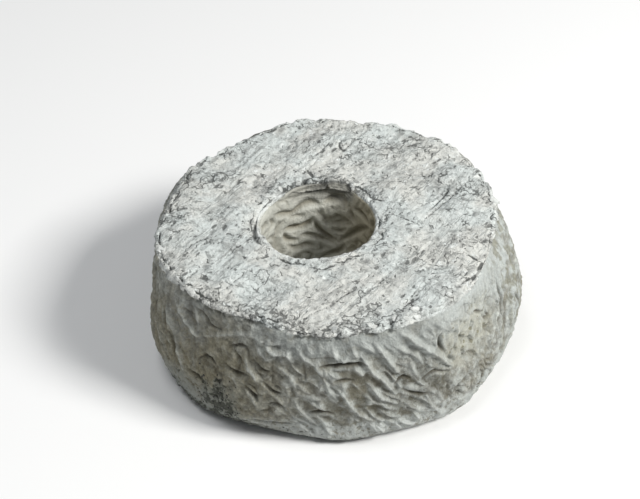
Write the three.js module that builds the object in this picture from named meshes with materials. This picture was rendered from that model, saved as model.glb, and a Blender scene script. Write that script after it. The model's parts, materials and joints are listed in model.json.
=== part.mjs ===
// A small ring-shaped goat cheese: a flat wheel with a hole straight through its middle.
// The ash-dusted rind has dried into folds round the outside and down the hole, the top is
// nearly flat with a chipped edge, and the whole wheel has slumped a little out of round.
// Millimetres, +Z up. It stands on z = 0 about the origin, with its front towards -Y.
// A bearing is the angle round the wheel seen from above: 0 is the front, 90 the right (+X).

import * as THREE from "three";

const wheel = {
  height: 40,
  sideRadius: 48, // outside, just above the foot and just under the rim
  bulge: 1.6, // how much further the side stands out halfway up
  holeRadius: 16,
  holeSwell: 0.8, // how much wider the hole is halfway down
  holeShift: { x: -3.7, y: -1.2 }, // the hole sits a little off centre
  footRound: 4.5,
  rimRound: 1.6,
  mouthRound: 1.3,
  sillRound: 2.6,
  standAt: { x: -0.72, y: 0.38 }, // brings the slumped outline's middle to the origin
};

// How far apart the surface's points lie, stretch by stretch.
const spacing = { base: 4.6, side: 2, rim: 1.6, top: 2.8, hole: 1.9 };

// Where the outline swells out (or in, if negative) beyond round: towards a bearing, over so many
// degrees, centred at a height and fading above and below it.
const slumps = [
  { bearing: -78, reach: 1.7, degrees: 18, height: 38, tall: 12 },
  { bearing: -28, reach: -2.2, degrees: 14, height: 40, tall: 9 },
  { bearing: 36, reach: 1.2, degrees: 12, height: 40, tall: 9 },
  { bearing: 79, reach: -2, degrees: 14, height: 40, tall: 8 },
  { bearing: 135, reach: 1, degrees: 20, height: 40, tall: 14 },
  { bearing: 170, reach: -1.2, degrees: 6, height: 40, tall: 8 },
  { bearing: -173, reach: 2.2, degrees: 16, height: 40, tall: 12 },
  { bearing: -145, reach: -1.2, degrees: 13, height: 40, tall: 12 },
  { bearing: -123, reach: 1.2, degrees: 9, height: 40, tall: 12 },
  { bearing: -106, reach: -1.6, degrees: 10, height: 24, tall: 20 },
  { bearing: -66, reach: 4.8, degrees: 30, height: 10, tall: 16 },
  { bearing: -50, reach: 1.6, degrees: 12, height: 0, tall: 6 },
  { bearing: 38, reach: 4, degrees: 18, height: 4, tall: 13 },
  { bearing: 84, reach: 5.6, degrees: 22, height: 8, tall: 14 },
  { bearing: 2, reach: 2, degrees: 13, height: 0, tall: 7 },
];

// The folds that wander over a wall: waves of one length that run all ways within a lean.
const folds = {
  side: { seed: 11, waves: 18, length: 8.6, radius: 50, lean: 62, depth: 1.25, sharp: 0.5 },
  hole: { seed: 5, waves: 16, length: 6.2, radius: 16, lean: 90, depth: 1.1, sharp: 0.5 },
};

// The few long folds that stand out singly on the side, each from one point to another.
const ridges = [
  { from: [19, 38.5], to: [38.5, 19.5], wide: 1.4, proud: 1.6 },
  { from: [11.5, 35.5], to: [19.5, 24], wide: 1.2, proud: 1.2 },
  { from: [8.4, 32.5], to: [19, 17], wide: 1.2, proud: 1.2 },
  { from: [8.8, 22.8], to: [18.6, 14.4], wide: 1.1, proud: 1.1 },
  { from: [0.7, 23], to: [6, 12], wide: 1.1, proud: 1 },
  { from: [22, 27], to: [29, 14.5], wide: 1.1, proud: 1 },
  { from: [-29.3, 30], to: [-22.6, 17.5], wide: 1.1, proud: 1 },
  { from: [-44, 30], to: [-18, 35], wide: 1.1, proud: 0.8 },
  { from: [-60, 33], to: [-55, 14], wide: 1.3, proud: 1.1 },
];

const lumps = { seed: 23, waves: 9, length: 34, radius: 50, lean: 90, depth: 0.55 };
const chips = { seed: 31, waves: 7, length: 7, radius: 48, lean: 0, depth: 0.8 };
const dents = { seed: 47, waves: 8, length: 15, depth: 0.3 }; // in the flat top

const turn = 2 * Math.PI;
const radians = THREE.MathUtils.degToRad;
const { lerp, clamp, smoothstep } = THREE.MathUtils;

// A repeatable draw of numbers from 0 to 1.
function drawFrom(seed) {
  let state = seed;
  return () => {
    state = (state * 1664525 + 1013904223) % 4294967296;
    return state / 4294967296;
  };
}

// Wandering waves round a wall, as a function of bearing and height, about -2 to 2.
function wavesRound({ seed, waves, length, radius, lean }) {
  const draw = drawFrom(seed);
  const set = [];
  for (let i = 0; i < waves; i++) {
    const way = radians(lean) * ((2 * (i + draw())) / waves - 1);
    set.push({
      around: Math.round((turn * radius * Math.cos(way)) / length),
      up: (turn * Math.sin(way)) / length,
      phase: turn * draw(),
    });
  }
  const share = Math.sqrt(2 / waves);
  return (bearing, z) =>
    share * set.reduce((sum, w) => sum + Math.cos(w.around * bearing + w.up * z + w.phase), 0);
}

// The same kind of waves over the flat top, as a function of x and y.
function wavesAcross({ seed, waves, length }) {
  const draw = drawFrom(seed);
  const set = [];
  for (let i = 0; i < waves; i++) {
    const way = (Math.PI * (i + draw())) / waves;
    set.push({
      x: (turn * Math.cos(way)) / length,
      y: (turn * Math.sin(way)) / length,
      phase: turn * draw(),
    });
  }
  const share = Math.sqrt(2 / waves);
  return (x, y) => share * set.reduce((sum, w) => sum + Math.cos(w.x * x + w.y * y + w.phase), 0);
}

// How far a bearing is from another, in radians from -pi to pi.
function bearingGap(bearing, other) {
  const gap = bearing - other;
  return gap - turn * Math.round(gap / turn);
}

const bell = (x) => Math.exp(-x * x);

// How far the outline stands out of round at a bearing and height.
function slumpAt(bearing, z) {
  return slumps.reduce((sum, s) => {
    const across = bearingGap(bearing, radians(s.bearing)) / radians(s.degrees);
    return sum + s.reach * bell(across) * bell((z - s.height) / s.tall);
  }, 0);
}

// How proud the single folds stand at a bearing and height on the side.
function ridgeAt(bearing, z) {
  let proud = 0;
  for (const r of ridges) {
    const start = { x: radians(r.from[0]) * wheel.sideRadius, y: r.from[1] };
    const way = { x: radians(r.to[0]) * wheel.sideRadius - start.x, y: r.to[1] - start.y };
    const here = { x: bearingGap(bearing, 0) * wheel.sideRadius - start.x, y: z - start.y };
    const along = clamp((here.x * way.x + here.y * way.y) / (way.x ** 2 + way.y ** 2), 0, 1);
    const away = Math.hypot(here.x - along * way.x, here.y - along * way.y);
    proud = Math.max(proud, r.proud * bell(away / r.wide));
  }
  return proud;
}

const sideWaves = wavesRound(folds.side);
const holeWaves = wavesRound(folds.hole);
const lumpWaves = wavesRound(lumps);
const chipWaves = wavesRound(chips);
const dentWaves = wavesAcross(dents);

// Where the side's folds are a net of narrow crests, towards the front right, and not creases.
const nettedAt = (bearing) => bell(bearingGap(bearing, radians(24)) / radians(26));

// The side's relief: crests where it is netted, creases between broad folds elsewhere.
function sideRelief(bearing, z) {
  const wave = sideWaves(bearing, z);
  const line = bell(wave / folds.side.sharp);
  const netted = nettedAt(bearing);
  const folded = folds.side.depth * lerp(-line, line, netted);
  const fade = smoothstep(z, 0.5, 6) * (1 - smoothstep(z, wheel.height - 5, wheel.height - 0.5));
  const lump = lumps.depth * lumpWaves(bearing, z);
  return fade * (folded * 0.8 + ridgeAt(bearing, z)) + lump * smoothstep(z, 0, 8);
}

// The hole's relief: worm-like folds with narrow creases between them.
function holeRelief(bearing, z) {
  const line = bell(holeWaves(bearing, z) / folds.hole.sharp);
  const fade = smoothstep(z, 1, 5) * (1 - smoothstep(z, wheel.height - 3, wheel.height - 0.5));
  return fade * folds.hole.depth * (0.45 - line);
}

// One quarter of a round edge, from a start point, as steps of an angle.
function quarter(rows, point) {
  return Array.from({ length: rows }, (_, i) => point((Math.PI / 2) * ((i + 0.5) / rows)));
}

// The section's rows, in order: out along the base, up the side, in over the top, down the hole.
// Each has a radius r, a height z, its outward normal, the wall it belongs to, and the share
// of the hole's shift that its centre takes.
function sectionRows() {
  const w = wheel;
  const footFlat = w.sideRadius - w.footRound;
  const rimFlat = w.sideRadius - w.rimRound;
  const mouthFlat = w.holeRadius + w.mouthRound;
  const sillFlat = w.holeRadius + w.sillRound;
  const rows = [];
  const add = (wall, r, z, normalR, normalZ, shift) =>
    rows.push({ wall, r, z, normalR, normalZ, shift });
  const count = (length, step) => Math.max(2, Math.round(length / step));

  const baseRows = count(footFlat - sillFlat, spacing.base);
  for (let i = 0; i <= baseRows; i++) {
    const t = i / baseRows;
    add("base", lerp(sillFlat, footFlat, t), 0, 0, -1, 1 - t);
  }
  quarter(3, (a) => {
    const out = w.footRound * Math.sin(a);
    add("side", footFlat + out, w.footRound * (1 - Math.cos(a)), Math.sin(a), -Math.cos(a), 0);
  });
  const sideTall = w.height - w.footRound - w.rimRound;
  const sideRows = count(sideTall, spacing.side);
  for (let i = 0; i <= sideRows; i++) {
    const t = i / sideRows;
    const r = w.sideRadius + w.bulge * 4 * t * (1 - t);
    add("side", r, w.footRound + t * sideTall, 1, 0, 0);
  }
  quarter(2, (a) => {
    const z = w.height - w.rimRound * (1 - Math.sin(a));
    add("rim", rimFlat + w.rimRound * Math.cos(a), z, Math.cos(a), Math.sin(a), 0);
  });
  const topRows = count(rimFlat - mouthFlat, spacing.top);
  for (let i = 0; i <= topRows; i++) {
    const t = i / topRows;
    add("top", lerp(rimFlat, mouthFlat, t), w.height, 0, 1, t);
  }
  quarter(2, (a) => {
    const z = w.height - w.mouthRound * (1 - Math.cos(a));
    add("mouth", mouthFlat - w.mouthRound * Math.sin(a), z, -Math.sin(a), Math.cos(a), 1);
  });
  const holeTall = w.height - w.mouthRound - w.sillRound;
  const holeRows = count(holeTall, spacing.hole);
  for (let i = 0; i <= holeRows; i++) {
    const t = i / holeRows;
    const r = w.holeRadius + w.holeSwell * 4 * t * (1 - t);
    add("hole", r, w.height - w.mouthRound - t * holeTall, -1, 0, 1);
  }
  quarter(2, (a) => {
    const z = w.sillRound * (1 - Math.sin(a));
    add("base", sillFlat - w.sillRound * Math.cos(a), z, -Math.cos(a), -Math.sin(a), 1);
  });
  return rows;
}

// How proud of the plain section the surface stands at a row and bearing.
function reliefAt(row, bearing) {
  if (row.wall === "side") return sideRelief(bearing, row.z);
  if (row.wall === "hole") return holeRelief(bearing, row.z);
  if (row.wall === "rim") return -chips.depth * smoothstep(chipWaves(bearing, 0), 0, 1.6);
  if (row.wall === "top") {
    const x = row.r * Math.sin(bearing);
    const y = -row.r * Math.cos(bearing);
    return dents.depth * dentWaves(x, y);
  }
  return 0;
}

// The point of the surface at a row and bearing.
function pointAt(row, bearing) {
  const w = wheel;
  const outFromHole = (row.r - w.holeRadius) / (w.sideRadius - w.holeRadius);
  const outward = row.wall === "hole" || row.wall === "mouth" ? 0 : clamp(outFromHole, 0, 1);
  const relief = reliefAt(row, bearing);
  const r = row.r + outward * slumpAt(bearing, row.z) + row.normalR * relief;
  return new THREE.Vector3(
    w.standAt.x + row.shift * w.holeShift.x + r * Math.sin(bearing),
    w.standAt.y + row.shift * w.holeShift.y - r * Math.cos(bearing),
    row.z + row.normalZ * relief,
  );
}

// One ring of points, evenly spaced round a row, with every other row set half a step round.
function ringOf(row, index) {
  const step = { base: spacing.base, rim: spacing.rim, top: spacing.top }[row.wall];
  const apart = step ?? (row.wall === "side" ? spacing.side : spacing.hole);
  const count = Math.max(24, Math.round((turn * row.r) / apart));
  const offset = (index % 2) / 2;
  return Array.from({ length: count }, (_, i) => {
    const share = (i + offset) / count;
    return { share, point: pointAt(row, turn * share) };
  });
}

// Closes the band between two rings, whose counts may differ, with triangles that face out.
function bandBetween(inner, outer, addTriangle) {
  let i = 0;
  let j = 0;
  const shareOf = (ring, k) => ring[k % ring.length].share + Math.floor(k / ring.length);
  while (i < inner.length || j < outer.length) {
    const a = inner[i % inner.length];
    const b = outer[j % outer.length];
    const innerNext = i < inner.length ? shareOf(inner, i + 1) : Infinity;
    const outerNext = j < outer.length ? shareOf(outer, j + 1) : Infinity;
    if (innerNext <= outerNext) {
      i += 1;
      addTriangle(a, inner[i % inner.length], b);
    } else {
      j += 1;
      addTriangle(a, outer[j % outer.length], b);
    }
  }
}

function ringShapedGeometry() {
  const rings = sectionRows().map(ringOf);
  const positions = [];
  const addTriangle = (...corners) => {
    for (const { point } of corners) positions.push(point.x, point.y, point.z);
  };
  rings.forEach((ring, i) => bandBetween(ring, rings[(i + 1) % rings.length], addTriangle));
  const geometry = new THREE.BufferGeometry();
  geometry.setAttribute("position", new THREE.Float32BufferAttribute(positions, 3));
  geometry.computeVertexNormals();
  return geometry;
}

const rind = new THREE.MeshStandardMaterial({ color: 0xc4c5be, roughness: 0.92, metalness: 0 });

const cheese = new THREE.Mesh(ringShapedGeometry(), rind);
cheese.name = "cheese_ring";

const part = new THREE.Group();
part.add(cheese);

export default part;
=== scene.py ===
# A small ring-shaped goat cheese with an ash-dusted, folded rind, on a pale table in soft light.
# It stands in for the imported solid: the same named sizes and waves give the same main forms,
# and Geometry Nodes raise the folds, creases, chips and grain of the rind on a fine mesh.
# A bearing is the angle round the wheel in degrees: 0 is the front (-Y), 90 the right (+X).
import json
import math

import bpy
import numpy as np
from mathutils import Matrix, Vector


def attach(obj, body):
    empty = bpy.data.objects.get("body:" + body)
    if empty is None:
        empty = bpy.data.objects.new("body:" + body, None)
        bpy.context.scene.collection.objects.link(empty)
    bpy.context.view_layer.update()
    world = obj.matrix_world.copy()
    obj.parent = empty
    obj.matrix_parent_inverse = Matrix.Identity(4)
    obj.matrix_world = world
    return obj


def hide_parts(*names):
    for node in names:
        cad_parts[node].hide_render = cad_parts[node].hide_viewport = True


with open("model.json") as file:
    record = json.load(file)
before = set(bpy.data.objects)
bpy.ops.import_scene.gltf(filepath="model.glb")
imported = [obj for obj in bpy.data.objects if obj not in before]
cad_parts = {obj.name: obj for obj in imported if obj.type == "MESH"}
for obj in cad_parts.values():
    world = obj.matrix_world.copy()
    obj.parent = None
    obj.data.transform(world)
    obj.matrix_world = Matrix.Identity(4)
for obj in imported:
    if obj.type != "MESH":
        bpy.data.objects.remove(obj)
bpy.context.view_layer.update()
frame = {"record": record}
mm = 0.001
node = "cheese_ring"

# The wheel in millimetres, as the solid has it.
wheel = {
    "height": 40.0,
    "sideRadius": 48.0,
    "bulge": 1.6,
    "holeRadius": 16.0,
    "holeSwell": 0.8,
    "footRound": 4.5,
    "rimRound": 1.6,
    "mouthRound": 1.3,
    "sillRound": 2.6,
    "standX": -0.72,
    "standY": 0.38,
}
hole = frame["record"]["physics"]["openings"][0]["box_m"]
holeX = (hole[0][0] + hole[1][0]) / 2 / mm - wheel["standX"]
holeY = (hole[0][1] + hole[1][1]) / 2 / mm - wheel["standY"]

# How far apart the fine mesh's points lie on each wall, in millimetres, and the fewest in a ring.
spacing = {"base": 1.7, "side": 0.465, "rim": 0.4, "top": 0.55, "mouth": 0.5, "hole": 0.6, "sill": 0.6}
fewest = 24

# Where the outline swells or shrinks: bearing, millimetres out, degrees across, height, how tall.
slumps = [
    (-78, 1.7, 18, 38, 12),
    (-28, -2.2, 14, 40, 9),
    (36, 1.2, 12, 40, 9),
    (79, -2, 14, 40, 8),
    (135, 1, 20, 40, 14),
    (170, -1.2, 6, 40, 8),
    (-173, 2.2, 16, 40, 12),
    (-145, -1.2, 13, 40, 12),
    (-123, 1.2, 9, 40, 12),
    (-106, -1.6, 10, 24, 20),
    (-66, 4.8, 30, 10, 16),
    (-50, 1.6, 12, 0, 6),
    (38, 4, 18, 4, 13),
    (84, 5.6, 22, 8, 14),
    (2, 2, 13, 0, 7),
]

# The wandering waves: each is a sum of waves of one length that run all ways within a lean.
waveSets = {
    "sideFolds": {"seed": 11, "waves": 18, "length": 8.6, "radius": 50, "lean": 62},
    "holeFolds": {"seed": 5, "waves": 16, "length": 6.2, "radius": 16, "lean": 90},
    "lumps": {"seed": 23, "waves": 9, "length": 34, "radius": 50, "lean": 90},
    "chips": {"seed": 31, "waves": 7, "length": 7, "radius": 48, "lean": 0},
}
dents = {"seed": 47, "waves": 8, "length": 15}

# Places on the side that differ from the rest: bearing, height, degrees across, millimetres tall.
places = {
    "netted": (9, 20, 27, 40),
    "calmLeft": (-44, 20, 30, 40),
    "hollow": (46, 26, 13, 9),
    "pleated": (80, 22, 16, 30),
    "ashPatch": (-39, 8, 8, 10),
    "ashFront": (3, 0, 10, 4),
    "greyFoot": (-50, 6, 15, 7),
    "ashFoot": (-46, 0.5, 34, 5),
    "tanNet": (10, 19, 26, 12),
    "tanRight": (26, 22, 13, 13),
    "blueBand": (4, 37, 34, 7),
    "blueLeft": (-53, 31, 9, 8),
    "smoothRim": (52, 40, 25, 20),
    "paleDrape": (53, 36, 24, 9),
    # the left side is browner, and this place also carries painted shade where that side is away from
    # the light
    "brownLeft": (-50, 19, 36, 17),
    "overhung": (-20, 38, 40, 20),
    "flakyRim": (-10, 40, 38, 20),
}
torn = (176, 40, 36, 6)  # the same for the hole's mouth
sideZone = 40  # the side's places lie outside this radius
mouthZone = 30  # and the torn mouth inside this one
matDegrees = 53.0  # which way the mat's lines run over the top, from +X

# What runs round the top, in millimetres: near the rim by its radius, at the mouth out from the wall.
around = {"rimLine": 46.5, "rimFlakes": 46.7, "lipLine": 2.8, "lipFlakes": 3.4, "paleLip": 0.7}

turn = 2 * math.pi


def drawFrom(seed):  # repeatable numbers from 0 to 1
    state = seed
    while True:
        state = (state * 1664525 + 1013904223) % 4294967296
        yield state / 4294967296


def wavesRound(bearing, z, seed, waves, length, radius, lean):
    draw = drawFrom(seed)
    total = np.zeros_like(bearing)
    for i in range(waves):
        way = math.radians(lean) * (2 * (i + next(draw)) / waves - 1)
        around = math.floor(turn * radius * math.cos(way) / length + 0.5)
        up = turn * math.sin(way) / length
        total += np.cos(around * bearing + up * z + turn * next(draw))
    return total * math.sqrt(2 / waves)


def wavesAcross(x, y, seed, waves, length):
    draw = drawFrom(seed)
    total = np.zeros_like(x)
    for i in range(waves):
        way = math.pi * (i + next(draw)) / waves
        kx = turn * math.cos(way) / length
        ky = turn * math.sin(way) / length
        total += np.cos(kx * x + ky * y + turn * next(draw))
    return total * math.sqrt(2 / waves)


def bearingGap(bearing, degrees):
    gap = bearing - math.radians(degrees)
    return gap - turn * np.round(gap / turn)


def bellCurve(x):
    return np.exp(-x * x)


def slumpAt(bearing, z):
    total = np.zeros_like(bearing)
    for centre, reach, degrees, height, tall in slumps:
        across = bearingGap(bearing, centre) / math.radians(degrees)
        total += reach * bellCurve(across) * bellCurve((z - height) / tall)
    return total


def placeAt(bearing, z, place):  # 1 in the middle of a named place, falling to 0 round it
    centre, height, degrees, tall = place
    across = bearingGap(bearing, centre) / math.radians(degrees)
    return np.exp(-across**4 - ((z - height) / tall) ** 4)


def bowedRadius(radius, swell, t):  # a wall's radius at a share t of its height, widest half way
    return radius + swell * 4 * t * (1 - t)


def sideRadiusAt(z):
    w = wheel
    t = (z - w["footRound"]) / (w["height"] - w["footRound"] - w["rimRound"])
    return bowedRadius(w["sideRadius"], w["bulge"], np.clip(t, 0, 1))


def onTable(x, y, z):  # a place in millimetres from the wheel's own middle, in metres in the frame
    return Vector((wheel["standX"] + x, wheel["standY"] + y, z)) * mm


def sidePoint(degrees, z):  # a place on the plain side
    bearing = math.radians(degrees)
    r = float(sideRadiusAt(z) + slumpAt(np.array([bearing]), z)[0])
    return onTable(r * math.sin(bearing), -r * math.cos(bearing), z)


def holePoint(degrees, z):  # a place on the hole's plain wall
    w = wheel
    bearing = math.radians(degrees)
    t = (z - w["sillRound"]) / (w["height"] - w["mouthRound"] - w["sillRound"])
    r = bowedRadius(w["holeRadius"], w["holeSwell"], t)
    return onTable(holeX + r * math.sin(bearing), holeY - r * math.cos(bearing), z)


def topPoint(x, y):  # a place on the plain top
    return onTable(x, y, wheel["height"])


def sectionRows():  # out along the base, up the side, in over the top and down the hole
    w = wheel
    height = w["height"]
    footFlat = w["sideRadius"] - w["footRound"]
    rimFlat = w["sideRadius"] - w["rimRound"]
    mouthFlat = w["holeRadius"] + w["mouthRound"]
    sillFlat = w["holeRadius"] + w["sillRound"]
    rows = []  # wall, radius, height, the normal's two parts, how far the ring follows the hole

    def stepsAlong(length, wall):
        return max(2, round(length / spacing[wall]))

    def straight(wall, start, end, normal, swell=0.0, shifts=(0, 0)):
        for t in np.linspace(0, 1, stepsAlong(math.dist(start, end), wall) + 1):
            r = bowedRadius(start[0] + t * (end[0] - start[0]), swell, t)
            z = start[1] + t * (end[1] - start[1])
            rows.append((wall, r, z, *normal, shifts[0] + t * (shifts[1] - shifts[0])))

    def rounded(wall, radius, centre, quarter, shift):
        steps = stepsAlong(radius * math.pi / 2, wall)
        for i in range(steps):
            a = (quarter + (i + 0.5) / steps) * math.pi / 2
            r = centre[0] + radius * math.cos(a)
            z = centre[1] + radius * math.sin(a)
            rows.append((wall, r, z, math.cos(a), math.sin(a), shift))

    low = w["footRound"]
    high = height - w["rimRound"]
    straight("base", (sillFlat, 0), (footFlat, 0), (0, -1), shifts=(1, 0))
    rounded("side", w["footRound"], (footFlat, low), -1, 0)
    straight("side", (w["sideRadius"], low), (w["sideRadius"], high), (1, 0), w["bulge"])
    rounded("rim", w["rimRound"], (rimFlat, high), 0, 0)
    low = w["sillRound"]
    high = height - w["mouthRound"]
    straight("top", (rimFlat, height), (mouthFlat, height), (0, 1), shifts=(0, 1))
    rounded("mouth", w["mouthRound"], (mouthFlat, high), 1, 1)
    straight("hole", (w["holeRadius"], high), (w["holeRadius"], low), (-1, 0), w["holeSwell"], (1, 1))
    rounded("sill", w["sillRound"], (sillFlat, low), 2, 1)
    return rows


def bandBetween(inner, outer):  # triangles that close the band between two rings of points
    faces = []
    i = 0
    j = 0
    innerFirst, innerShares = inner
    outerFirst, outerShares = outer
    innerCount = len(innerShares)
    outerCount = len(outerShares)

    def shareOf(shares, k):
        return shares[k % len(shares)] + k // len(shares)

    while i < innerCount or j < outerCount:
        a = innerFirst + i % innerCount
        b = outerFirst + j % outerCount
        innerNext = shareOf(innerShares, i + 1) if i < innerCount else math.inf
        outerNext = shareOf(outerShares, j + 1) if j < outerCount else math.inf
        if innerNext <= outerNext:
            i += 1
            faces.append((a, innerFirst + i % innerCount, b))
        else:
            j += 1
            faces.append((a, outerFirst + j % outerCount, b))
    return faces


def plainWheel():  # the slumped ring before its relief, with what the relief needs on each point
    rings, walls, bearings, rows, faces = [], [], [], [], []
    for index, (wall, *row) in enumerate(sectionRows()):
        count = max(fewest, round(turn * row[0] / spacing[wall]))
        shares = (np.arange(count) + (index % 2) / 2) / count
        rings.append((len(walls), shares.tolist()))
        walls += [wall] * count
        bearings.append(turn * shares)
        rows.append(np.tile(row, (count, 1)))
    for index, ring in enumerate(rings):
        faces += bandBetween(ring, rings[(index + 1) % len(rings)])

    w = wheel
    walls = np.array(walls)
    bearing = np.concatenate(bearings)
    ringRadius, z, normalR, normalZ, shift = np.concatenate(rows).T
    outward = np.clip((ringRadius - w["holeRadius"]) / (w["sideRadius"] - w["holeRadius"]), 0, 1)
    outward[np.isin(walls, ("hole", "mouth"))] = 0
    r = ringRadius + outward * slumpAt(bearing, z)
    sine = np.sin(bearing)
    cosine = np.cos(bearing)
    x = w["standX"] + shift * holeX + r * sine
    y = w["standY"] + shift * holeY - r * cosine
    points = np.column_stack((x, y, z)) * mm
    normals = np.column_stack((normalR * sine, -normalR * cosine, normalZ))

    fields = {
        "height": z,
        "ringRadius": ringRadius,
        "onSide": np.isin(walls, ("side", "rim")),
        "onTop": np.isin(walls, ("top", "rim", "mouth")),
        "onHole": walls == "hole",
        "dents": wavesAcross(ringRadius * sine, -ringRadius * cosine, **dents),
        "torn": placeAt(bearing, z, torn) * (ringRadius < mouthZone),
    }
    for name, values in waveSets.items():
        fields[name] = wavesRound(bearing, z, **values)
    for name, place in places.items():
        fields[name] = placeAt(bearing, z, place) * (ringRadius > sideZone)

    mesh = bpy.data.meshes.new("wheel")
    mesh.from_pydata(points.tolist(), [], faces)
    for name, values in fields.items():
        layer = mesh.attributes.new(name, "FLOAT", "POINT")
        layer.data.foreach_set("value", np.asarray(values, np.float32))
    for name, values in (("rindNormal", normals), ("plainPlace", points / mm)):
        layer = mesh.attributes.new(name, "FLOAT_VECTOR", "POINT")
        layer.data.foreach_set("vector", values.astype(np.float32).ravel())
    mesh.polygons.foreach_set("use_smooth", [True] * len(mesh.polygons))
    return mesh


# A value in a node tree, so that formulas can be written as formulas.
class Field:
    def __init__(self, sheet, socket):
        self.sheet = sheet
        self.socket = socket


def formula(operation, turned):  # the node that a sign stands for, with its sides turned or not
    def method(self, other):
        return self.sheet.math(operation, *((other, self) if turned else (self, other)))

    return method


signs = {"add": "ADD", "sub": "SUBTRACT", "mul": "MULTIPLY", "truediv": "DIVIDE"}
for sign, operation in signs.items():
    setattr(Field, f"__{sign}__", formula(operation, False))
    setattr(Field, f"__r{sign}__", formula(operation, True))


nodeGap = 190  # how the nodes are laid out in the editor
nodesDown = 7


# A node tree that is being filled. It serves geometry trees and material trees alike.
class Sheet:
    def __init__(self, tree):
        self.tree = tree
        self.placed = 0

    def add(self, kind, feeds=(), **settings):
        made = self.tree.nodes.new(kind)
        column, row = divmod(self.placed, nodesDown)
        made.location = (nodeGap * column, -nodeGap * row)
        self.placed += 1
        for name, value in settings.items():
            setattr(made, name, value)
        for name, value in dict(feeds).items():
            self.feed(made.inputs[name], value)
        return made

    def feed(self, socket, value):
        if isinstance(value, Field):
            value = value.socket
        if isinstance(value, bpy.types.NodeSocket):
            self.tree.links.new(value, socket)
        else:
            socket.default_value = value

    def out(self, made, name=0):
        return Field(self, made.outputs[name])

    def layer(self, name, kind="FLOAT"):  # what the mesh carries on its points
        if self.tree.bl_idname == "GeometryNodeTree":
            named = self.add("GeometryNodeInputNamedAttribute", {"Name": name}, data_type=kind)
            return self.out(named)
        named = self.add("ShaderNodeAttribute", attribute_name=name)
        return self.out(named, "Fac" if kind == "FLOAT" else "Vector")

    def layers(self, *names):
        return [self.layer(name) for name in names]

    def math(self, operation, *values):
        return self.out(self.add("ShaderNodeMath", enumerate(values), operation=operation))

    def most(self, value, *others):  # the largest of several
        for other in others:
            value = self.math("MAXIMUM", value, other)
        return value

    def capped(self, value, top=1.0):  # no more than the top
        return self.math("MINIMUM", value, top)

    def vector(self, operation, *values, output=0, **named):
        feeds = {**dict(enumerate(values)), **named}
        return self.out(self.add("ShaderNodeVectorMath", feeds, operation=operation), output)

    def scaled(self, place, by):
        return self.vector("SCALE", place, Scale=by)

    def stretched(self, place, by):
        return self.vector("MULTIPLY", place, by)

    def shifted(self, place, by):
        return self.vector("ADD", place, by)

    def bell(self, x):
        return self.math("EXPONENT", -1 * (x * x))

    def cusp(self, x):  # like the bell, with a sharp peak
        return self.math("EXPONENT", -1 * self.math("ABSOLUTE", x))

    def smooth(self, x, low, high, start=0.0, end=1.0):
        feeds = {"Value": x, "From Min": low, "From Max": high, "To Min": start, "To Max": end}
        return self.out(self.add("ShaderNodeMapRange", feeds, interpolation_type="SMOOTHSTEP"))

    def noise(self, place, scale, detail=2.0, roughness=0.5, output="Fac", **more):
        feeds = {"Vector": place, "Scale": scale, "Detail": detail, "Roughness": roughness, **more}
        return self.out(self.add("ShaderNodeTexNoise", feeds), output)

    def patches(self, low, high, *noise):  # 1 where a noise is above high, 0 where it is below low
        return self.smooth(self.noise(*noise), low, high)

    def cells(self, place, scale, feature="F1"):
        feeds = {"Vector": place, "Scale": scale}
        return self.out(self.add("ShaderNodeTexVoronoi", feeds, feature=feature), "Distance")

    def rotated(self, place, degrees=0.0, angle=None):  # about the upright axis
        feeds = {"Vector": place, "Angle": math.radians(degrees) if angle is None else angle}
        return self.out(self.add("ShaderNodeVectorRotate", feeds, rotation_type="Z_AXIS"))

    def centred(self, place, *noise):  # a noise of three values round nought
        coloured = self.noise(place, *noise, output="Color")
        return self.vector("SUBTRACT", coloured, (0.5, 0.5, 0.5))

    def warped(self, place, scale, reach):  # a place pushed about by noise
        return self.shifted(place, self.scaled(self.centred(place, scale), reach))

    def blend(self, a, b, t):  # from colour a to colour b
        mix = self.add("ShaderNodeMix", {0: t, 6: a, 7: b}, data_type="RGBA")
        return self.out(mix, 2)


socketKinds = {int: "Int", float: "Float", tuple: "Color"}


def newTree(kind, name, inputs, outputs):  # a socket is given by its kind or by its first value
    tree = bpy.data.node_groups.new(name, kind)
    for way, sockets in (("INPUT", inputs), ("OUTPUT", outputs)):
        for label, first in sockets.items():
            named = "NodeSocket" + (first if isinstance(first, str) else socketKinds[type(first)])
            socket = tree.interface.new_socket(name=label, in_out=way, socket_type=named)
            if not isinstance(first, str):
                socket.default_value = first
    s = Sheet(tree)
    start = s.add("NodeGroupInput")
    end = s.add("NodeGroupOutput")
    return tree, s, {label: s.out(start, label) for label in inputs}, end


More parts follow.
